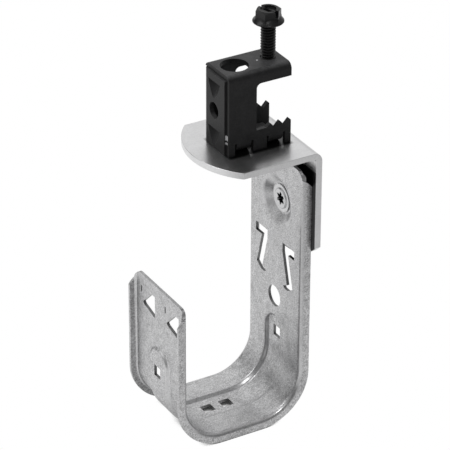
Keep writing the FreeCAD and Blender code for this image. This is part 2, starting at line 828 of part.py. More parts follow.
def make_rivets():
    hook_seat = (leg_inner_face - hook_sheet, 0, rivet_level)
    clamp_seat = (-top_hole_reach, 0, plate_top + clamp_sheet)
    hook_sizes = (hook_rivet_shank, hook_rivet_collar, hook_rivet_bore)
    clamp_sizes = (clamp_rivet_shank, clamp_rivet_collar, clamp_rivet_bore)
    return [
        make_rivet("hook_rivet", hook_seat, TO_MINUS_X, hook_sheet + bracket_sheet, hook_sizes),
        make_rivet("clamp_rivet", clamp_seat, Rotation(), clamp_sheet + bracket_sheet, clamp_sizes),
    ]


def check(pieces):
    """Stop if any object of the document failed, or a piece isn't one valid solid."""
    for item in document.Objects:
        if {"Invalid", "Error"} & set(item.State):
            raise RuntimeError(f"{item.Name} failed: {item.State}")
    for piece in pieces:
        shape = piece.Shape
        if shape.isNull() or not shape.isValid() or len(shape.Solids) != 1:
            raise RuntimeError(f"{piece.Label} isn't one valid solid")


def main():
    pieces = [make_j_hook(), make_angle_bracket(), make_clamp_body(), make_clamp_screw()]
    pieces += make_rivets()
    document.recompute()
    check(pieces)
    os.makedirs("parts", exist_ok=True)
    for piece in pieces:
        piece.Shape.exportStep(f"parts/{piece.Label}.step")
        box = piece.Shape.BoundBox
        print(f"{piece.Label}: {piece.Shape.Volume:.1f} mm3, {box.XLength:.2f} x {box.YLength:.2f}"
              f" x {box.ZLength:.2f} mm, {len(piece.Shape.Faces)} faces")


main()
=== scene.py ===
import json
import math

import bmesh
import bpy
from mathutils import Matrix, Vector

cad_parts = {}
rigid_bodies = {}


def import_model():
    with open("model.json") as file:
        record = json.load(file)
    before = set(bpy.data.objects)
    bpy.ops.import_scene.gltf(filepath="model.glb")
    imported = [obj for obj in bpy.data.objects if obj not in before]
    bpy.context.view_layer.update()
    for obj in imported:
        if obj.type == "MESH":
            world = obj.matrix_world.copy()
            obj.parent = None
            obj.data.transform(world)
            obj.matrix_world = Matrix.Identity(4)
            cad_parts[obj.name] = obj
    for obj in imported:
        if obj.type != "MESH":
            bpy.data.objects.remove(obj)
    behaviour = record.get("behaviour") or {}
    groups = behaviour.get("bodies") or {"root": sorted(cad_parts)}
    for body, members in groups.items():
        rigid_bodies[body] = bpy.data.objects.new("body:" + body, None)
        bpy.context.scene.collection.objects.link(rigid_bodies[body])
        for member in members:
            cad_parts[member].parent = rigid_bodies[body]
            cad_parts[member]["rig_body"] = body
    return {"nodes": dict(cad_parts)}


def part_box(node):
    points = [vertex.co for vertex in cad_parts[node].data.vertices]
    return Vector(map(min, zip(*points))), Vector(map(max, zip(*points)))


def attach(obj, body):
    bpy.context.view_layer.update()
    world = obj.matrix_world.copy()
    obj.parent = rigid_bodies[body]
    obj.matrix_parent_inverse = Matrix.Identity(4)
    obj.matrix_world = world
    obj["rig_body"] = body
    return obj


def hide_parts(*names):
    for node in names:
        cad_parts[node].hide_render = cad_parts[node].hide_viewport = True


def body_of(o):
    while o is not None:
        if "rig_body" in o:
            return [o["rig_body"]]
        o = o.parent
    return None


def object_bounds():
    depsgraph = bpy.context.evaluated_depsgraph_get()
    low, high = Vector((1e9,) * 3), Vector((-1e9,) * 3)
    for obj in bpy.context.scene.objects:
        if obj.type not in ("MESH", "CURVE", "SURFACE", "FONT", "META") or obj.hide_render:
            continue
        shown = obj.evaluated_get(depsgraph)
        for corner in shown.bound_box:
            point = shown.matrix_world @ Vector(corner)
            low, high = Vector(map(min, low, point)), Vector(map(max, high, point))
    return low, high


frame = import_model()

# A J hook cable support under its beam clamp: the folded hook, its angle bracket, the black
# clamp with its threaded clamping screw, and the two tubular rivets that hold them together.
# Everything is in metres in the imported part's own frame, +Z up.

bl_info = {
    "name": "J hook cable support",
    "version": (1, 0, 0),
    "blender": (4, 5, 0),
    "location": "3D View > Sidebar > Cable support",
    "description": "Galvanised J hook on an angle bracket under a black beam clamp",
    "category": "Object",
}

MM = 0.001
CAD_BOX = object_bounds()

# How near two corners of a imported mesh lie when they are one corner
WELD = 0.002 * MM

# Angles between two faces, in degrees: what counts as one flat face, from where an edge is
# shaded sharp, and from where it was broken in the making
FLAT_CREASE = 0.3
SHARP_CREASE = 30.0
BROKEN_CREASE = 40.0

# The hook's folds are flat inside, at 45 degrees, and are shaded as if they were round
FOLD_CREASES = (43.0, 50.0)

BREAK_SEGMENTS = 2
ROLL_SEGMENTS = 5


class FinishSettings(bpy.types.PropertyGroup):
    """Colours and surface finishes of the metal parts."""

    hook_colour: bpy.props.FloatVectorProperty(
        name="Hook zinc", description="Reflected colour of the hook's galvanised sheet",
        subtype="COLOR", size=3, min=0, max=1, default=(0.55, 0.55, 0.555))
    bracket_colour: bpy.props.FloatVectorProperty(
        name="Bracket zinc", description="Reflected colour of the bracket's zinc plating",
        subtype="COLOR", size=3, min=0, max=1, default=(0.71, 0.71, 0.715))
    rivet_colour: bpy.props.FloatVectorProperty(
        name="Rivet zinc", description="Reflected colour of the plated rivets",
        subtype="COLOR", size=3, min=0, max=1, default=(0.66, 0.66, 0.665))
    clamp_colour: bpy.props.FloatVectorProperty(
        name="Clamp black", description="Colour of the clamp's black coat",
        subtype="COLOR", size=3, min=0, max=1, default=(0.021, 0.021, 0.0215))
    screw_colour: bpy.props.FloatVectorProperty(
        name="Screw black", description="Colour of the screw's black oxide",
        subtype="COLOR", size=3, min=0, max=1, default=(0.006, 0.006, 0.0063))
    edge_radius: bpy.props.FloatProperty(
        name="Edge radius", description="How far the stamped edges are broken",
        unit="LENGTH", min=0, default=0.12 * MM)
    dish_radius: bpy.props.FloatProperty(
        name="Dish rounding", description="How far the dish's rims run out into the web",
        unit="LENGTH", min=0, default=2.2 * MM)
    band_radius: bpy.props.FloatProperty(
        name="Band rounding", description="How far the pressed band's edges are rounded",
        unit="LENGTH", min=0, default=0.75 * MM)


class ThreadSettings(bpy.types.PropertyGroup):
    """The clamping screw's rolled thread and head."""

    pitch: bpy.props.FloatProperty(
        name="Pitch", description="Rise of the thread in one turn, 20 to the inch",
        unit="LENGTH", min=0.1 * MM, default=1.27 * MM)
    depth: bpy.props.FloatProperty(
        name="Depth", description="From the thread's crest to its root",
        unit="LENGTH", min=0, default=0.76 * MM)
    neck_length: bpy.props.FloatProperty(
        name="Neck length", description="Plain stretch under the head's washer",
        unit="LENGTH", min=0, default=1.9 * MM)
    neck_depth: bpy.props.FloatProperty(
        name="Neck depth", description="How far the plain neck lies inside the thread's crest",
        unit="LENGTH", min=0, default=0.3 * MM)
    crest_radius: bpy.props.FloatProperty(
        name="Crest radius", description="Half the thread's outer diameter",
        unit="LENGTH", min=0.1 * MM, default=3.175 * MM)
    head_height: bpy.props.FloatProperty(
        name="Head height", description="From the washer's underside to the head's top",
        unit="LENGTH", min=0, default=5.8 * MM)
    hex_across: bpy.props.FloatProperty(
        name="Hexagon", description="Across the head's flats",
        unit="LENGTH", min=0, default=9.5 * MM)
    recess_radius: bpy.props.FloatProperty(
        name="Recess radius", description="Half the width of the indent in the head's top",
        unit="LENGTH", min=0, default=3.3 * MM)
    recess_depth: bpy.props.FloatProperty(
        name="Recess depth", description="How deep the indent in the head's top is",
        unit="LENGTH", min=0, default=1.0 * MM)
    slot_width: bpy.props.FloatProperty(
        name="Slot width", description="Width of the driver's slot",
        unit="LENGTH", min=0, default=1.8 * MM)
    slot_depth: bpy.props.FloatProperty(
        name="Slot depth", description="From the head's top to the slot's floor",
        unit="LENGTH", min=0, default=2.6 * MM)


class StudioSettings(bpy.types.PropertyGroup):
    """Camera, floor and lamps."""

    azimuth: bpy.props.FloatProperty(
        name="Azimuth", description="Camera's turn round the object",
        subtype="ANGLE", default=math.radians(-29.81))
    elevation: bpy.props.FloatProperty(
        name="Elevation", description="Camera's height over the horizon",
        subtype="ANGLE", default=math.radians(29.61))
    distance: bpy.props.FloatProperty(
        name="Distance", description="From the camera to the plane through its target",
        unit="LENGTH", default=1216.5 * MM)
    lens: bpy.props.FloatProperty(
        name="Lens", description="Focal length in millimetres on a 36 mm sensor",
        unit="CAMERA", default=230.4)
    floor_drop: bpy.props.FloatProperty(
        name="Floor drop", description="How far the floor lies under the hook",
        unit="LENGTH", min=0, default=0.3 * MM)
    contact_reach: bpy.props.FloatProperty(
        name="Contact reach", description="How far off a surface may be that shades the floor",
        unit="LENGTH", min=0, default=7 * MM)
    front_floor: bpy.props.FloatProperty(
        name="Front floor", description="Brightness that metal sees in the floor before it",
        min=0, max=1, default=0.62)
    horizon_light: bpy.props.FloatProperty(
        name="Horizon light", description="Brightness of the room near the horizon",
        min=0, default=0.55)
    sky_light: bpy.props.FloatProperty(
        name="Sky light", description="Brightness of the room overhead",
        min=0, default=1.0)
    front_light: bpy.props.FloatProperty(
        name="Front light", description="Share of that brightness on the camera's side",
        min=0, max=1, default=0.25)


class Value:
    """One output of a shader tree, so that maths on it reads as plain Python."""

    def __init__(self, recipe, socket):
        self.recipe = recipe
        self.socket = socket

    def _maths(self, operation, *values):
        return self.recipe.node("ShaderNodeMath", {"operation": operation},
                                dict(enumerate(values)))

    def __add__(self, other):
        return self._maths("ADD", self, other)

    def __sub__(self, other):
        return self._maths("SUBTRACT", self, other)

    def __rsub__(self, other):
        return self._maths("SUBTRACT", other, self)

    def __mul__(self, other):
        return self._maths("MULTIPLY", self, other)

    def __gt__(self, other):
        return self._maths("GREATER_THAN", self, other)

    __radd__ = __add__
    __rmul__ = __mul__

    def sized(self):
        """The value without its sign."""
        return self._maths("ABSOLUTE", self)

    def clamped(self):
        """The value held between 0 and 1."""
        return self._maths("MINIMUM", self._maths("MAXIMUM", self, 0), 1)

    def above(self, start, steepness):
        """0 up to start, and 1 from where the rise past it is over."""
        return ((self - start) * steepness).clamped()

    def below(self, end, steepness):
        """0 from end on, and 1 to where the fall before it begins."""
        return ((end - self) * steepness).clamped()


class Recipe:
    """A material being mixed: a Principled surface and the nodes that feed it."""

    def __init__(self, name):
        self.material = bpy.data.materials.new(name)
        self.material.use_nodes = True
        self.tree = self.material.node_tree
        self.surface = self.tree.nodes["Principled BSDF"]

    @classmethod
    def of_tree(cls, tree):
        """The same ways of making nodes, for the world's tree."""
        recipe = cls.__new__(cls)
        recipe.tree = tree
        return recipe

    def highest(self, first, *others):
        """The greatest of some values."""
        for other in others:
            first = self.node("ShaderNodeMath", {"operation": "MAXIMUM"}, {0: first, 1: other})
        return first

    def cover(self, factor, shader):
        """Lay another shader over the surface by a factor."""
        surface = Value(self, self.surface.outputs[0])
        both = self.node("ShaderNodeMixShader", {}, {0: factor, 1: surface, 2: shader})
        output = self.tree.nodes["Material Output"]
        self.tree.links.new(both.socket, output.inputs["Surface"])

    def node(self, kind, settings=None, inputs=None, output=0):
        """Any node: its settings first, then the values or links of its sockets."""
        made = self.tree.nodes.new(kind)
        for name, setting in (settings or {}).items():
            if name == "stops":
                self._set_ramp(made.color_ramp, setting)
            else:
                setattr(made, name, setting)
        for key, value in (inputs or {}).items():
            if isinstance(value, Value):
                self.tree.links.new(value.socket, made.inputs[key])
            else:
                made.inputs[key].default_value = value
        return Value(self, made.outputs[output])

    @staticmethod
    def _set_ramp(ramp, stops):
        while len(ramp.elements) < len(stops):
            ramp.elements.new(0.5)
        for element, (position, shade) in zip(ramp.elements, stops):
            element.position = position
            element.color = (shade, shade, shade, 1)

    def feed(self, name, value):
        """Set or link one of the surface's own sockets."""
        if isinstance(value, Value):
            self.tree.links.new(value.socket, self.surface.inputs[name])
        else:
            self.surface.inputs[name].default_value = value

    def place(self, stretch=(1, 1, 1)):
        """Object coordinates in millimetres, stretched along each axis."""
        where = self.node("ShaderNodeTexCoord", output="Object")
        scale = tuple(1 / (MM * amount) for amount in stretch)
        return self.node("ShaderNodeMapping", {}, {"Vector": where, "Scale": scale})

    def normal(self, axis):
        """One part of the way the surface faces."""
        facing = self.node("ShaderNodeNewGeometry", output="Normal")
        return self.node("ShaderNodeSeparateXYZ", {}, {0: facing}, axis)

    def noise(self, size, detail=2.0, stretch=(1, 1, 1), roughness=0.5):
        """Soft noise from 0 to 1 whose blotches are about size millimetres across."""
        return self.node("ShaderNodeTexNoise", {}, {
            "Vector": self.place(stretch), "Scale": 1 / size, "Detail": detail,
            "Roughness": roughness}, "Fac")

    def spot(self, middle, half, border):
        """1 inside a box on Object coordinates, falling to 0 over border millimetres."""
        where = self.node("ShaderNodeVectorMath", {"operation": "SUBTRACT"},
                          {0: self.place(), 1: middle}, "Vector")
        parts = self.node("ShaderNodeVectorMath", {"operation": "ABSOLUTE"}, {0: where}, "Vector")
        inside = []
        for axis, reach in zip("XYZ", half):
            off = self.node("ShaderNodeSeparateXYZ", {}, {0: parts}, axis)
            inside.append(((reach - off) * (1 / border) + 0.5).clamped())
        return inside[0] * inside[1] * inside[2]

    def ramp(self, value, stops):
        """Grey that follows a value between stops of (value, brightness)."""
        return self.node("ShaderNodeValToRGB", {"stops": stops}, {"Fac": value}, "Color")

    def ease(self, value, lowest, highest, start, end):
        """Smoothly from start to end as a value goes from lowest to highest."""
        return self.node("ShaderNodeMapRange", {"interpolation_type": "SMOOTHSTEP"}, {
            "Value": value, "From Min": lowest, "From Max": highest, "To Min": start,
            "To Max": end}, "Result")

    def shade(self, colour, factor):
        """The colour, brightened or darkened by a factor that varies over the surface."""
        return self.node("ShaderNodeVectorMath", {"operation": "SCALE"},
                         {0: tuple(colour), "Scale": factor}, "Vector")

    def bump(self, height, depth):
        """A normal from a height of 0 to 1 that stands for depth millimetres."""
        return self.node("ShaderNodeBump", {}, {"Height": height, "Distance": depth * MM},
                         "Normal")


# Places on the parts that look unlike the rest, in millimetres in the imported frame: the middle
# of a box, its half size and the width of its soft border
# The rear bend, where the hook's stains are deepened into a painted dark reflection
HOOK_BEND = ((-8, 0, -116), (20, 30, 22), 14)
# The legs, whose sheared walls are darkened: bare steel, and painted shade inside the cut walls
FRONT_LEG = ((-51.1, 0.0, -93.6), (3.0, 18.4, 22.85), 0.5)
REAR_LEG = ((6.8, 0.0, -68.0), (4.0, 18.4, 48.5), 0.5)
# Painted shade on the bracket's plate under the clamp's foot and in the gap behind the hook's rear
# web
UNDER_CLAMP = ((-9.6, -1.0, -10.6), (15.0, 10.8, 1.5), 1.6)
BEHIND_HOOK = ((9.15, 0.0, -43.5), (0.8, 24.4, 23.5), 0.5)
# Painted shade down the two rivets' bores
HOOK_RIVET_BORE = ((9.65, 0.0, -42.9), (2.25, 2.5, 2.5), 0.6)
CLAMP_RIVET_BORE = ((-16.0, 0.0, -10.45), (1.7, 1.7, 2.75), 0.5)
# Painted glints: bright specks on the clamp's coat, set as chips of bare steel
GLINT_CHIPS = (
    ((-24.0, -7.95, -2.5), (0.5, 0.6, 1.1), 0.3),
    ((-24.0, -7.9, -5.0), (0.5, 0.55, 0.45), 0.3),
    ((-5.6, -0.6, 25.6), (0.35, 0.35, 0.5), 0.25),
)

# How much of the zinc's brightness is lost to painted shade where other parts cover the plate and
# down a bore, and on a sheared wall to bare steel and painted shade
COVERED_PLATE_SHADE = 0.9
BORE_SHADE = 0.85
SHEARED_BARE_AND_SHADE = 0.65

# How many times brighter than the black coat its painted glints are, set as chips
GLINT_BRIGHTNESS = 32


def mix_galvanised_hook(finish):
    """Pre-galvanised coil sheet: satin, softly mottled, with faint lines along its length."""
    recipe = Recipe("galvanised_hook_sheet")
    mottle = recipe.noise(size=3.5, detail=4.0, roughness=0.6)
    grain = recipe.noise(size=0.9, detail=3.0, roughness=0.7)
    lines = recipe.noise(size=0.6, stretch=(14, 1, 14))
    fine = recipe.noise(size=0.45, roughness=0.7)

    # Dull stains over the sheet, deepened in the rear bend into a painted dark reflection
    stains_and_painted_reflection = recipe.noise(size=9.0) - 0.52
    stains_and_painted_reflection = 1 - (recipe.spot(*HOOK_BEND) + 0.3) * (stains_and_painted_reflection * (stains_and_painted_reflection > 0))

    # The folds and the pressed band's step were burnished by the press
    slant = recipe.normal("Y").sized()
    burnish = slant.above(0.16, 5) * slant.below(0.97, 6)
    speckle = 0.70 * mottle + 1.30 * grain + 1.45 * fine + 0.20 * lines - 1.83
    tone = (1.02 + speckle * (1 - 0.6 * burnish)) * stains_and_painted_reflection

    # The sheared walls of the legs' holes and ends are darker: bare of zinc, and painted shade
    # inside the cut walls
    legs = recipe.spot(*FRONT_LEG) + recipe.spot(*REAR_LEG)
    sheared = recipe.normal("X").sized().below(0.45, 5) * legs
    tone = tone * (1 - SHEARED_BARE_AND_SHADE * sheared)
    recipe.feed("Base Color", recipe.shade(finish.hook_colour, tone))
    recipe.feed("Metallic", 1.0)
    recipe.feed("Roughness", 0.36 + 0.12 * mottle + 0.10 * grain - 0.17 * burnish)
    recipe.feed("Normal", recipe.bump((grain + 0.4 * lines) * (1 - 0.8 * burnish), 0.03))
    return recipe.material


def mix_plated_bracket(finish):
    """Zinc plated plate, smoother than the hook, with painted shade where other parts cover it."""
    recipe = Recipe("zinc_plated_plate")
    cloud = recipe.noise(size=7.0, detail=3.0)
    grain = recipe.noise(size=0.8, detail=3.0, roughness=0.65)
    tone = 0.72 + 0.26 * cloud + 0.30 * grain
    # Painted shade under the clamp's foot and in the gap behind the hook
    for place in (UNDER_CLAMP, BEHIND_HOOK):
        tone = tone * (1 - COVERED_PLATE_SHADE * recipe.spot(*place))
    recipe.feed("Base Color", recipe.shade(finish.bracket_colour, tone))
    recipe.feed("Metallic", 1.0)
    recipe.feed("Roughness", 0.24 + 0.10 * cloud + 0.06 * grain)
    recipe.feed("Normal", recipe.bump(grain, 0.008))
    return recipe.material


def mix_plated_rivet(finish):
    """Zinc plated rivet steel, with painted shade down its bore."""
    recipe = Recipe("zinc_plated_rivet")
    grain = recipe.noise(size=0.4)
    tone = 0.70 + 0.5 * grain
    # Painted shade down both bores
    for place in (HOOK_RIVET_BORE, CLAMP_RIVET_BORE):
        tone = tone * (1 - BORE_SHADE * recipe.spot(*place))
    recipe.feed("Base Color", recipe.shade(finish.rivet_colour, tone))
    recipe.feed("Metallic", 1.0)
    recipe.feed("Roughness", 0.26 + 0.14 * grain)
    recipe.feed("Normal", recipe.bump(grain, 0.01))
    return recipe.material


def mix_black_clamp(finish):
    """Black coat on stamped steel: satin, cloudy, with painted light on its upward faces and three
    painted glints set as chips.
    """
    recipe = Recipe("black_coated_clamp")
    cloud = recipe.noise(size=4.0, detail=3.0)
    grain = recipe.noise(size=0.8, detail=3.0, roughness=0.65)
    # Painted light: upward faces lighter, in cloudy blotches
    top_light = recipe.normal("Z").above(0.6, 3) * (1.2 + 1.6 * cloud)
    tone = (0.2 + 0.7 * cloud + 0.9 * grain) * (1 + top_light)
    # Painted glints, set as chips of bare steel
    for place in GLINT_CHIPS:
        tone = tone + GLINT_BRIGHTNESS * recipe.spot(*place)
    recipe.feed("Base Color", recipe.shade(finish.clamp_colour, tone))
    recipe.feed("Specular IOR Level", 0.13)
    recipe.feed("Roughness", 0.30 + 0.14 * cloud + 0.10 * grain)
    recipe.feed("Normal", recipe.bump(grain, 0.04))
    return recipe.material


def mix_black_screw(finish):
    """Black oxide on the rolled screw, glossier than the clamp."""
    recipe = Recipe("black_oxide_screw")
    grain = recipe.noise(size=0.3)
    recipe.feed("Base Color", recipe.shade(finish.screw_colour, 0.7 + 0.6 * grain))
    recipe.feed("Specular IOR Level", 0.3)
    recipe.feed("Roughness", 0.26 + 0.14 * grain)
    recipe.feed("Normal", recipe.bump(grain, 0.01))
    return recipe.material


def new_object(name, data):
    """An object with the given mesh, light or camera, in the scene."""
    made = bpy.data.objects.new(name, data)
    bpy.context.scene.collection.objects.link(made)
    return made


def shade_skin(mesh, crease=SHARP_CREASE, folds=(0.0, 0.0)):
    """Shade a mesh smooth, with a sharp edge wherever two faces meet at more than crease.

    An edge whose crease lies between the two folds stays smooth too.
    """
    limit = math.radians(crease)
    least, most = (math.radians(fold) for fold in folds)
    shell = bmesh.new()
    shell.from_mesh(mesh)
    for face in shell.faces:
        face.smooth = True
    for edge in shell.edges:
        bend = edge.calc_face_angle(0)
        edge.smooth = bend < limit or least < bend < most
    shell.to_mesh(mesh)
    shell.free()


def merged_copy(node, name):
    """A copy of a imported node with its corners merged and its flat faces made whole."""
    source = frame["nodes"][node].data
    mesh = bpy.data.meshes.new(name)
    mesh.from_pydata([v.co for v in source.vertices], [], [p.vertices for p in source.polygons])
    shell = bmesh.new()
    shell.from_mesh(mesh)
    bmesh.ops.remove_doubles(shell, verts=shell.verts, dist=WELD)
    bmesh.ops.dissolve_limit(shell, angle_limit=math.radians(FLAT_CREASE), verts=shell.verts,
                             edges=shell.edges)
    shell.to_mesh(mesh)
    shell.free()
    shade_skin(mesh)
    return new_object(name, mesh)


def weigh_edges(mesh, chosen):
    """Mark the edges that a bevel by weight rounds."""
    shell = bmesh.new()
    shell.from_mesh(mesh)
    layers = shell.edges.layers.float
    weight = layers.get("bevel_weight_edge") or layers.new("bevel_weight_edge")
    for edge in shell.edges:
        edge[weight] = float(chosen(edge))
    shell.to_mesh(mesh)
    shell.free()


def round_weighed(piece, radius, segments):
    """Round the edges that weigh_edges has marked."""
    bevel = piece.modifiers.new("rounded_edges", "BEVEL")
    bevel.limit_method = "WEIGHT"
    bevel.width = radius
    bevel.segments = segments


def roll_edges(piece, chosen, radius):
    """Round the chosen edges for good, as soft pressed rolls."""
    weigh_edges(piece.data, chosen)
    round_weighed(piece, radius, ROLL_SEGMENTS)
    piece.data = baked(piece)
    piece.modifiers.clear()
    shade_skin(piece.data, folds=FOLD_CREASES)


def break_edges(piece, radius, blunt=BROKEN_CREASE):
    """Break the stamped edges, and keep the flat faces flat in the shading."""
    bevel = piece.modifiers.new("broken_edges", "BEVEL")
    bevel.limit_method = "ANGLE"
    bevel.angle_limit = math.radians(blunt)
    bevel.width = radius
    bevel.segments = BREAK_SEGMENTS
    weighted = piece.modifiers.new("flat_faces", "WEIGHTED_NORMAL")
    weighted.keep_sharp = True


def finish_piece(piece, node, material):
    """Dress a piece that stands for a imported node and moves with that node's body."""
    piece.data.materials.clear()
    piece.data.materials.append(material)
    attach(piece, body_of(frame["nodes"][node])[0])
    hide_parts(node)


def lathe(columns, profile, start=0.0):
    """A skin turned about Z. profile lists (radius, height) rings, a pole where radius is 0.

    A radius or a height may be a function of the column's angle.
    """
    shell = bmesh.new()
    rings = []
    for radius, height in profile:
        if radius == 0:
            rings.append([shell.verts.new((0, 0, height))] * columns)
            continue
        ring = []
        for column in range(columns):
            angle = start + 2 * math.pi * column / columns
            out = radius(angle) if callable(radius) else radius
            up = height(angle) if callable(height) else height
            ring.append(shell.verts.new((out * math.cos(angle), out * math.sin(angle), up)))
        rings.append(ring)
    for lower, upper in zip(rings, rings[1:]):
        for column in range(columns):
            following = (column + 1) % columns
            corners = [lower[column], lower[following], upper[following], upper[column]]
            shell.faces.new(list(dict.fromkeys(corners)))
    return shell


def to_mesh(shell, name):
    """The shell as a mesh. The shell is used up."""
    mesh = bpy.data.meshes.new(name)
    shell.to_mesh(mesh)
    shell.free()
    return mesh


class CABLESUPPORT_OT_hook(bpy.types.Operator):
    """Dress the folded J hook"""

    bl_idname = "cable_support.hook"
    bl_label = "J hook"

    # The dish's rim: its distance from the rivet's axis, how even that is, and its creases
    RIM_REACH = (11 * MM, 15 * MM)
    RIM_EVEN = 0.02 * MM
    RIM_CREASES = (math.radians(8), math.radians(40))

    # The band's sloping sides: within this of the middle, this far below the dish
    BAND_REACH = 8.5 * MM
    BAND_DROP = 15 * MM
    BAND_CREASES = (math.radians(40), math.radians(50))

    def execute(self, context):
        finish = context.scene.support_finish
        hook = merged_copy("j_hook", "hook_sheet")
        low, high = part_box("hook_rivet")
        axis = (low + high) / 2
        roll_edges(hook, self.dish_rims(axis), finish.dish_radius)
        roll_edges(hook, self.band_edges(axis), finish.band_radius)
        break_edges(hook, finish.edge_radius, FOLD_CREASES[1])
        finish_piece(hook, "j_hook", mix_galvanised_hook(finish))
        return {"FINISHED"}

    def dish_rims(self, axis):
        """A test for the edges of the dish's blunt rims, round the rivet's axis."""
        least, most = self.RIM_CREASES
        inner, outer = self.RIM_REACH

        def on_rim(edge):
            reach = [math.hypot(v.co.y - axis.y, v.co.z - axis.z) for v in edge.verts]
            even = abs(reach[0] - reach[1]) < self.RIM_EVEN and inner < reach[0] < outer
            return even and least < edge.calc_face_angle(0) < most
        return on_rim

    def band_edges(self, axis):
        """A test for the edges of the pressed band's sloping sides, well below the dish."""
        least, most = self.BAND_CREASES

        def on_band(edge):
            sloping = least < edge.calc_face_angle(0) < most
            near_middle = max(abs(v.co.y) for v in edge.verts) < self.BAND_REACH
            below_dish = max(v.co.z for v in edge.verts) < axis.z - self.BAND_DROP
            return sloping and near_middle and below_dish
        return on_band


class CABLESUPPORT_OT_bracket(bpy.types.Operator):
    """Dress the angle bracket"""

    bl_idname = "cable_support.bracket"
    bl_label = "Angle bracket"

    # The thick plate's edges are broken further than the sheets'
    THICK_EDGES = 1.3

    def execute(self, context):
        finish = context.scene.support_finish
        bracket = merged_copy("angle_bracket", "bracket_plate")
        break_edges(bracket, self.THICK_EDGES * finish.edge_radius)
        finish_piece(bracket, "angle_bracket", mix_plated_bracket(finish))
        return {"FINISHED"}


class CABLESUPPORT_OT_clamp(bpy.types.Operator):
    """Dress the folded beam clamp"""

    bl_idname = "cable_support.clamp"
    bl_label = "Beam clamp"

    def execute(self, context):
        finish = context.scene.support_finish
        clamp = merged_copy("clamp_body", "clamp_fold")
        break_edges(clamp, finish.edge_radius)
        finish_piece(clamp, "clamp_body", mix_black_clamp(finish))
        return {"FINISHED"}


# How far the screw's head is turned, and with it the first column of the thread
HEAD_TURN = math.radians(105)


class ThreadTree:
    """The node tree that rolls a flat grid up into the screw's thread.

    The grid's columns run once round the shank and each row starts one eighth of a turn's
    rise higher, so the grid's two sides meet one turn apart and are welded.
    """

    ROWS_A_PITCH = 8

    # The flanks take the middle three quarters of the way from root to crest and back
    FLANK_RISE = 4 / 3
    FLANK_START = -1 / 6

    # How fast the chamfered point widens
    POINT_SLOPE = 1.2

    def __init__(self):
        self.tree = bpy.data.node_groups.new("rolled_thread", "GeometryNodeTree")
        self.tree.interface.new_socket("Geometry", in_out="OUTPUT",
                                       socket_type="NodeSocketGeometry")
        self.inputs = self.tree.nodes.new("NodeGroupInput")
        self.outputs = self.tree.nodes.new("NodeGroupOutput")
        self.names = []

    def size(self, name):
        """A named input of the tree."""
        if name not in self.names:
            self.tree.interface.new_socket(name, in_out="INPUT", socket_type="NodeSocketFloat")
            self.names.append(name)
        return self.inputs.outputs[name]

    def node(self, kind, inputs=None, **settings):
        """Any node: its settings, and the values or links of its sockets."""
        made = self.tree.nodes.new(kind)
        for name, setting in settings.items():
            setattr(made, name, setting)
        for key, value in (inputs or {}).items():
            if isinstance(value, bpy.types.NodeSocket):
                self.tree.links.new(value, made.inputs[key])
            else:
                made.inputs[key].default_value = value
        return made

    def maths(self, operation, *values):
        """The result of one maths node."""
        return self.node("ShaderNodeMath", dict(enumerate(values)), operation=operation).outputs[0]

    def blend(self, factor, start, end):
        """From start to end as factor goes from 0 to 1, and no further."""
        return self.node("ShaderNodeMapRange", {"Value": factor, "To Min": start, "To Max": end},
                         clamp=True).outputs["Result"]

    def build(self, columns, rows, material):
        """Roll a grid of columns and rows up into the thread."""
        grid = self.node("GeometryNodeMeshGrid", {
            "Size X": 1, "Size Y": 1, "Vertices X": columns + 1, "Vertices Y": rows})
        place = self.node("GeometryNodeInputPosition")
        split = self.node("ShaderNodeSeparateXYZ", {0: place.outputs[0]})
        around = self.maths("ADD", split.outputs["X"], 0.5)
        index = self.node("GeometryNodeInputIndex").outputs[0]
        row = self.maths("MODULO", index, rows)
        pitch = self.size("Pitch")
        crest, root = self.size("Crest radius"), self.size("Root radius")
        tip, top = self.size("Tip"), self.size("Top")

        # Height: rows start one pitch under the tip, and what would pass an end stops there
        turns = self.maths("ADD", self.maths("DIVIDE", row, self.ROWS_A_PITCH), around)
        rise = self.maths("MULTIPLY", self.maths("SUBTRACT", turns, 1), pitch)
        height = self.maths("ADD", tip, rise)
        height = self.maths("MINIMUM", self.maths("MAXIMUM", height, tip), top)

        # Radius: flat crest, straight flanks and flat root, each row of the grid on one of them
        phase = self.maths("FRACT", self.maths("DIVIDE", self.maths("ADD", row, 0.5),
                                               self.ROWS_A_PITCH))
        swing = self.maths("ABSOLUTE", self.maths("SUBTRACT", self.maths("MULTIPLY", phase, 2), 1))
        flank = self.maths("MULTIPLY_ADD", swing, self.FLANK_RISE, self.FLANK_START)
        radius = self.blend(flank, root, crest)

        # The plain neck under the head, and the chamfered point
        past_thread = self.maths("SUBTRACT", height, self.size("Neck start"))
        radius = self.blend(self.maths("DIVIDE", past_thread, pitch), radius,
                            self.size("Neck radius"))
        over_tip = self.maths("SUBTRACT", height, tip)
        point = self.maths("ADD", root, self.maths("MULTIPLY", over_tip, self.POINT_SLOPE))
        radius = self.maths("MINIMUM", radius, point)

        angle = self.maths("MULTIPLY_ADD", around, 2 * math.pi, HEAD_TURN)
        spot = self.node("ShaderNodeCombineXYZ", {
            "X": self.maths("MULTIPLY", radius, self.maths("COSINE", angle)),
            "Y": self.maths("MULTIPLY", radius, self.maths("SINE", angle)),
            "Z": height})
        rolled = self.node("GeometryNodeSetPosition", {
            "Geometry": grid.outputs["Mesh"], "Position": spot.outputs[0]})
        welded = self.node("GeometryNodeMergeByDistance", {
            "Geometry": rolled.outputs[0], "Distance": WELD})
        real = self.node("GeometryNodeRealizeInstances", {"Geometry": welded.outputs[0]})
        painted = self.node("GeometryNodeSetMaterial", {
            "Geometry": real.outputs[0], "Material": material})
        self.tree.links.new(painted.outputs[0], self.outputs.inputs[0])


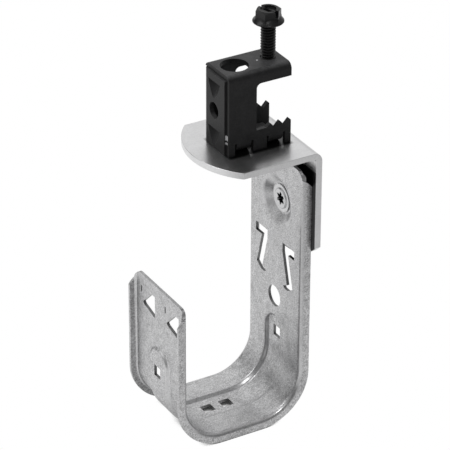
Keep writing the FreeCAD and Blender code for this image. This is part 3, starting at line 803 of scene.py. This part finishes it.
def baked(piece):
    """The mesh that a piece's modifiers give, as a plain mesh."""
    graph = bpy.context.evaluated_depsgraph_get()
    return bpy.data.meshes.new_from_object(piece.evaluated_get(graph))


def roll_thread(sizes, columns, rows, material):
    """The thread as a plain open mesh, from its node tree."""
    recipe = ThreadTree()
    recipe.build(columns, rows, material)
    carrier = new_object("thread_carrier", bpy.data.meshes.new("thread_carrier"))
    modifier = carrier.modifiers.new("rolled_thread", "NODES")
    modifier.node_group = recipe.tree
    for item in recipe.tree.interface.items_tree:
        if item.in_out == "INPUT":
            modifier[item.identifier] = sizes[item.name]
    mesh = baked(carrier)
    bpy.data.objects.remove(carrier)
    return mesh


class CABLESUPPORT_OT_screw(bpy.types.Operator):
    """Make the clamping screw with its rolled thread and indented hex washer head"""

    bl_idname = "cable_support.screw"
    bl_label = "Clamp screw"

    COLUMNS = 48

    # The washer, as distances inside its rim and over its seat, and what stands on it
    WASHER = ((0.25 * MM, 0), (0, 0.22 * MM), (0, 0.6 * MM), (0.25 * MM, 0.95 * MM),
              (0.85 * MM, 1.5 * MM))
    FILLET_TOP = 2.6 * MM
    FILLET_SPREAD = 0.12 * MM
    HEXAGON_FOOT = 2.9 * MM

    # The hexagon's chamfer, and how far the indent's wall leans in
    CROWN_INSET = 0.45 * MM
    CHAMFER = math.tan(math.radians(30))
    RECESS_LEAN = 0.15 * MM

    # From this crease on, the head's edges are broken
    HEAD_CREASE = math.radians(35)

    def execute(self, context):
        finish = context.scene.support_finish
        thread = context.scene.support_thread
        low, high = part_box("clamp_screw")
        seat = high.z - thread.head_height
        crest = thread.crest_radius
        material = mix_black_screw(finish)
        neck_radius = crest - thread.neck_depth
        turns = (seat - low.z) / thread.pitch
        rows = math.ceil((turns + 1) * ThreadTree.ROWS_A_PITCH) + 1
        shank = roll_thread({
            "Pitch": thread.pitch, "Crest radius": crest, "Root radius": crest - thread.depth,
            "Tip": low.z, "Top": seat, "Neck start": seat - thread.neck_length,
            "Neck radius": neck_radius,
        }, self.COLUMNS, rows, material)

        shell = lathe(self.COLUMNS, self.head_profile(thread, seat, neck_radius, high), HEAD_TURN)
        shell.from_mesh(shank)
        bmesh.ops.remove_doubles(shell, verts=shell.verts, dist=WELD)
        bmesh.ops.dissolve_degenerate(shell, edges=shell.edges, dist=WELD)
        bmesh.ops.holes_fill(shell, edges=[e for e in shell.edges if e.is_boundary])
        bmesh.ops.recalc_face_normals(shell, faces=shell.faces)
        screw = new_object("clamp_screw_threaded", to_mesh(shell, "clamp_screw_threaded"))
        self.cut_slot(screw, thread, high)
        shade_skin(screw.data)
        # The head's sharp edges are broken. The thread keeps its own.
        weigh_edges(screw.data, lambda edge: edge.calc_face_angle(0) > self.HEAD_CREASE
                    and min(vertex.co.z for vertex in edge.verts) > seat - WELD)
        round_weighed(screw, finish.edge_radius, BREAK_SEGMENTS)
        finish_piece(screw, "clamp_screw", material)
        return {"FINISHED"}

    def head_profile(self, thread, seat, neck_radius, high):
        """Rings from the neck over the washer and the hexagon to the recess's middle."""
        across = thread.hex_across / 2
        top = high.z
        crown = across - self.CROWN_INSET
        recess_floor = top - thread.recess_depth

        def hexagon(angle):
            turned = (angle - HEAD_TURN) % math.radians(60)
            return across / math.cos(turned - math.radians(30))

        def fillet(angle):
            return hexagon(angle) + self.FILLET_SPREAD

        def shoulder(angle):
            return top - (hexagon(angle) - crown) * self.CHAMFER

        return [
            (neck_radius, seat),
            *((high.x - inset, seat + rise) for inset, rise in self.WASHER),
            (fillet, seat + self.FILLET_TOP),
            (hexagon, seat + self.HEXAGON_FOOT),
            (hexagon, shoulder),
            (crown, top),
            (thread.recess_radius, top),
            (thread.recess_radius - self.RECESS_LEAN, recess_floor),
            (0, recess_floor),
        ]

    @staticmethod
    def cut_slot(screw, thread, high):
        """Cut the driver's slot right across the head."""
        reach = 2 * thread.hex_across
        box = bmesh.new()
        bmesh.ops.create_cube(box, size=1)
        size = (reach, thread.slot_width, 2 * thread.slot_depth)
        bmesh.ops.scale(box, vec=size, verts=box.verts)
        bmesh.ops.rotate(box, matrix=Matrix.Rotation(HEAD_TURN, 3, "Z"), verts=box.verts)
        bmesh.ops.translate(box, vec=(0, 0, high.z), verts=box.verts)
        cutter = new_object("slot_cutter", to_mesh(box, "slot_cutter"))
        cut = screw.modifiers.new("driver_slot", "BOOLEAN")
        cut.operation = "DIFFERENCE"
        cut.solver = "EXACT"
        cut.object = cutter
        screw.data = baked(screw)
        screw.modifiers.remove(cut)
        bpy.data.objects.remove(cutter)


# The radii of each rivet's shank and collar
HOOK_RIVET_RADII = (3.95 * MM, 6.35 * MM)
CLAMP_RIVET_RADII = (3.175 * MM, 4.35 * MM)

RIVET_COLUMNS = 72
RIVET_CREASE = 42.0
COLLAR_RISE = 1.2 * MM
HEAD_RISE = 1.5 * MM

# Rings of the domed factory head, as shares of its radius and of its rise
HEAD_RINGS = ((0, 1), (0.45, 1), (0.86, 0.82), (1, 0.36), (1, 0))

# Rings of the collar as it rolls outward and back, as shares of its radius and of its rise
COLLAR_RINGS = ((0.97, 0), (1, 0.28), (0.98, 0.52), (0.90, 0.66), (0.80, 0.52), (0.74, 0.48),
                (0.70, 0.80), (0.62, 1), (0.53, 0.96))

# The split hole's star: its radius as a share of the collar's, its narrowest radius as a
# share of that, and how pointed it is
STAR_RADIUS = 0.46
STAR_WAIST = 0.62
STAR_SHARPNESS = 1.6

# Rings of the hole, as shares of the star and of the collar's rise, and of the round bore
# below it, as shares of the collar's radius and rise
STAR_RINGS = ((1, 0.70), (0.94, -0.1))
BORE_MOUTH = (0.36, -0.9)
BORE_RADIUS = 0.34

# How much of the grip the bore leaves solid
BORE_REST = 0.2


def rivet_profile(shank, collar, grip, head_radius):
    """Rings of a tubular rivet from its factory head to its bore, the collar's seat at 0."""
    bore_floor = -grip + BORE_REST * grip

    def star(share):
        """Six points between rounded petals, as a radius at each angle."""
        def radius(angle):
            wave = abs(math.cos(3 * angle)) ** STAR_SHARPNESS
            return share * STAR_RADIUS * collar * (STAR_WAIST + (1 - STAR_WAIST) * wave)
        return radius

    return [
        *((out * head_radius, -grip - up * HEAD_RISE) for out, up in HEAD_RINGS),
        (shank, -grip),
        (shank, 0),
        *((out * collar, up * COLLAR_RISE) for out, up in COLLAR_RINGS),
        *((star(share), up * COLLAR_RISE) for share, up in STAR_RINGS),
        (BORE_MOUTH[0] * collar, BORE_MOUTH[1] * COLLAR_RISE),
        (BORE_RADIUS * collar, bore_floor),
        (0, bore_floor),
    ]


def turned_rivet(name, box, axis, side, shank, collar):
    """A tubular rivet: domed factory head, shank, and a collar rolled out over the near plate.

    It fills a box along an axis, with its collar at the axis's high end if side is 1.
    """
    low, high = box
    ends = sorted((side * getattr(low, axis), side * getattr(high, axis)))
    seat = ends[1] - COLLAR_RISE
    grip = seat - (ends[0] + HEAD_RISE)
    profile = rivet_profile(shank, collar, grip, (high.y - low.y) / 2)
    shell = lathe(RIVET_COLUMNS, profile)
    bmesh.ops.recalc_face_normals(shell, faces=shell.faces)

    outward = Vector([side * (axis == letter) for letter in "xyz"])
    middle = (low + high) / 2
    setattr(middle, axis, side * seat)
    turn = Vector((0, 0, 1)).rotation_difference(outward).to_matrix()
    bmesh.ops.rotate(shell, matrix=turn, verts=shell.verts)
    bmesh.ops.translate(shell, vec=middle, verts=shell.verts)
    rivet = new_object(name, to_mesh(shell, name))
    shade_skin(rivet.data, RIVET_CREASE)
    return rivet


class CABLESUPPORT_OT_rivets(bpy.types.Operator):
    """Make the two tubular rivets with their star split collars"""

    bl_idname = "cable_support.rivets"
    bl_label = "Tubular rivets"

    def execute(self, context):
        material = mix_plated_rivet(context.scene.support_finish)
        rivet = turned_rivet("hook_rivet_set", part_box("hook_rivet"), "x", -1, *HOOK_RIVET_RADII)
        finish_piece(rivet, "hook_rivet", material)
        rivet = turned_rivet("clamp_rivet_set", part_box("clamp_rivet"), "z", 1,
                             *CLAMP_RIVET_RADII)
        finish_piece(rivet, "clamp_rivet", material)
        return {"FINISHED"}


WHITE = (1, 1, 1)

# Contact shade on the floor, as stops of (share of open sky, brightness)
CONTACT_STOPS = ((0.28, 0.03), (0.52, 1.0))

# Where the mirrored floor brightens, in millimetres along Y, and the object's mirrored shadow
# on it: how many times further than the contact shade it spreads, and its least brightness
FLOOR_FALLOFF = (-160, 10)
SHADOW_SPREAD = 8
SHADOW_DEPTH = 0.25

# How far the floor reaches, in metres
FLOOR_REACH = 3.0

# The room as metal sees it: where it brightens with height and toward the back
HEIGHT_RANGE = (-0.1, 0.75)
DEPTH_RANGE = (-0.9, 0.6)

# A dark gap in the room, which the hook's bend mirrors as a dark stripe across it: where it
# lies, the cosines at its border and its middle, and its brightness
GAP_TOWARD = Vector((-0.49, 0.75, 0.43)).normalized()
GAP_RANGE = (0.93, 0.985)
GAP_BRIGHTNESS = 0.05


def background_rays(recipe):
    """1 for the rays that see the background: camera, glossy and transmission rays."""
    kinds = [recipe.node("ShaderNodeLightPath", output=kind)
             for kind in ("Is Camera Ray", "Is Glossy Ray", "Is Transmission Ray")]
    return recipe.highest(*kinds)


def mix_floor(studio):
    """White card to the eye and in metal, dark only where the object shuts the light out."""
    recipe = Recipe("pale_floor")
    recipe.feed("Base Color", (0.8, 0.8, 0.8, 1))
    recipe.feed("Roughness", 0.8)
    contact = recipe.node("ShaderNodeAmbientOcclusion", {"samples": 16},
                          {"Distance": studio.contact_reach}, "AO")
    lit = recipe.ramp(contact, CONTACT_STOPS)

    # Metal sees the floor darker in front of the object and round its foot
    depth = recipe.node("ShaderNodeSeparateXYZ", {}, {0: recipe.place()}, "Y")
    falloff = recipe.ease(depth, *FLOOR_FALLOFF, studio.front_floor, 1)
    shadow = recipe.node("ShaderNodeAmbientOcclusion", {"samples": 8},
                         {"Distance": SHADOW_SPREAD * studio.contact_reach}, "AO")
    mirrored = falloff * (SHADOW_DEPTH + (1 - SHADOW_DEPTH) * shadow)
    camera = recipe.node("ShaderNodeLightPath", output="Is Camera Ray")
    brightness = lit * recipe.highest(camera, mirrored)
    card = recipe.node("ShaderNodeEmission", {}, {
        "Color": recipe.shade(WHITE, brightness), "Strength": 1.0})
    recipe.cover(background_rays(recipe), card)
    return recipe.material


def make_floor(studio):
    """A wide white card just under the hook."""
    low = CAD_BOX[0].z - studio.floor_drop
    corners = [(FLOOR_REACH * x, FLOOR_REACH * y, low)
               for x, y in ((-1, -1), (1, -1), (1, 1), (-1, 1))]
    mesh = bpy.data.meshes.new("studio_floor")
    mesh.from_pydata(corners, [], [(0, 1, 2, 3)])
    floor = new_object("studio_floor", mesh)
    floor.data.materials.append(mix_floor(studio))


def make_world(studio):
    """White to the camera. For light and reflections it is brightest overhead and behind."""
    world = bpy.data.worlds.new("soft_studio")
    bpy.context.scene.world = world
    world.use_nodes = True
    recipe = Recipe.of_tree(world.node_tree)
    toward = recipe.node("ShaderNodeTexCoord", output="Object")
    up = recipe.node("ShaderNodeSeparateXYZ", {}, {0: toward}, "Z")
    back = recipe.node("ShaderNodeSeparateXYZ", {}, {0: toward}, "Y")
    height = recipe.ease(up, *HEIGHT_RANGE, studio.horizon_light, studio.sky_light)
    depth = recipe.ease(back, *DEPTH_RANGE, studio.front_light, 1)
    near_gap = recipe.node("ShaderNodeVectorMath", {"operation": "DOT_PRODUCT"},
                           {0: toward, 1: GAP_TOWARD}, "Value")
    gap = recipe.ease(near_gap, *GAP_RANGE, 1, GAP_BRIGHTNESS)
    camera = recipe.node("ShaderNodeLightPath", output="Is Camera Ray")
    brightness = recipe.highest(camera, height * depth * gap)
    room = world.node_tree.nodes["Background"]
    world.node_tree.links.new(recipe.shade(WHITE, brightness).socket, room.inputs["Color"])


def make_lamp(name, place, size, power):
    """A soft square lamp that faces the middle of the object, size in metres, power in watts."""
    light = bpy.data.lights.new(name, "AREA")
    light.shape = "SQUARE"
    light.size = size
    light.energy = power
    lamp = new_object(name, light)
    middle = (CAD_BOX[0] + CAD_BOX[1]) / 2
    lamp.location = middle + Vector(place)
    lamp.rotation_mode = "QUATERNION"
    lamp.rotation_quaternion = (-Vector(place)).to_track_quat("-Z", "Y")


# The photograph's camera: the point it was fitted round, how far its axis passes beside and
# over that point, the shift of the off-centre crop, the width of its sensor in millimetres,
# and how far it sees, in metres
CAMERA_TARGET = Vector((-20.45, 0, -60.89)) * MM
AXIS_ASIDE, AXIS_ABOVE = 6.82 * MM, -9.95 * MM
CROP_SHIFT = (0.0376, 0.0058)
SENSOR_WIDTH = 36
FAR_CLIP = 20


def make_camera(studio):
    """The photograph's view."""
    azimuth, elevation = studio.azimuth, studio.elevation
    back = Vector((math.sin(azimuth) * math.cos(elevation),
                   -math.cos(azimuth) * math.cos(elevation), math.sin(elevation)))
    right = Vector((math.cos(azimuth), math.sin(azimuth), 0))
    up = back.cross(right)
    camera = new_object("photo_camera", bpy.data.cameras.new("photo_camera"))
    turn = Matrix((right, up, back)).transposed()
    place = CAMERA_TARGET - AXIS_ASIDE * right - AXIS_ABOVE * up + studio.distance * back
    camera.matrix_world = Matrix.Translation(place) @ turn.to_4x4()
    camera.data.sensor_width = SENSOR_WIDTH
    camera.data.lens = studio.lens
    camera.data.shift_x, camera.data.shift_y = CROP_SHIFT
    camera.data.clip_end = FAR_CLIP
    bpy.context.scene.camera = camera


class CABLESUPPORT_OT_stage(bpy.types.Operator):
    """Set up the floor, the soft studio light and the camera"""

    bl_idname = "cable_support.stage"
    bl_label = "Stage"

    def execute(self, context):
        studio = context.scene.support_studio
        make_floor(studio)
        make_world(studio)
        make_lamp("key_lamp", place=(-0.75, 0.3, 0.95), size=0.45, power=2.2)
        make_lamp("front_lamp", place=(-0.26, -0.68, 0.74), size=0.24, power=1.4)
        make_camera(studio)
        context.scene.view_settings.view_transform = "Standard"
        return {"FINISHED"}


MAKERS = (CABLESUPPORT_OT_hook, CABLESUPPORT_OT_bracket, CABLESUPPORT_OT_clamp,
          CABLESUPPORT_OT_screw, CABLESUPPORT_OT_rivets, CABLESUPPORT_OT_stage)


class CABLESUPPORT_PT_panel(bpy.types.Panel):
    """A button for each piece and for the stage"""

    bl_idname = "CABLESUPPORT_PT_panel"
    bl_label = "Cable support"
    bl_space_type = "VIEW_3D"
    bl_region_type = "UI"
    bl_category = "Cable support"

    def draw(self, context):
        for maker in MAKERS:
            self.layout.operator(maker.bl_idname)


SETTINGS = {
    "support_finish": FinishSettings,
    "support_thread": ThreadSettings,
    "support_studio": StudioSettings,
}


def register():
    for kind in (*SETTINGS.values(), *MAKERS, CABLESUPPORT_PT_panel):
        bpy.utils.register_class(kind)
    for name, kind in SETTINGS.items():
        setattr(bpy.types.Scene, name, bpy.props.PointerProperty(type=kind))


def unregister():
    for name in SETTINGS:
        delattr(bpy.types.Scene, name)
    for kind in (CABLESUPPORT_PT_panel, *reversed(MAKERS), *SETTINGS.values()):
        bpy.utils.unregister_class(kind)


def main():
    """Make the pieces and the stage."""
    register()
    bpy.ops.cable_support.hook()
    bpy.ops.cable_support.bracket()
    bpy.ops.cable_support.clamp()
    bpy.ops.cable_support.screw()
    bpy.ops.cable_support.rivets()
    bpy.ops.cable_support.stage()


if __name__ == "__main__":
    main()
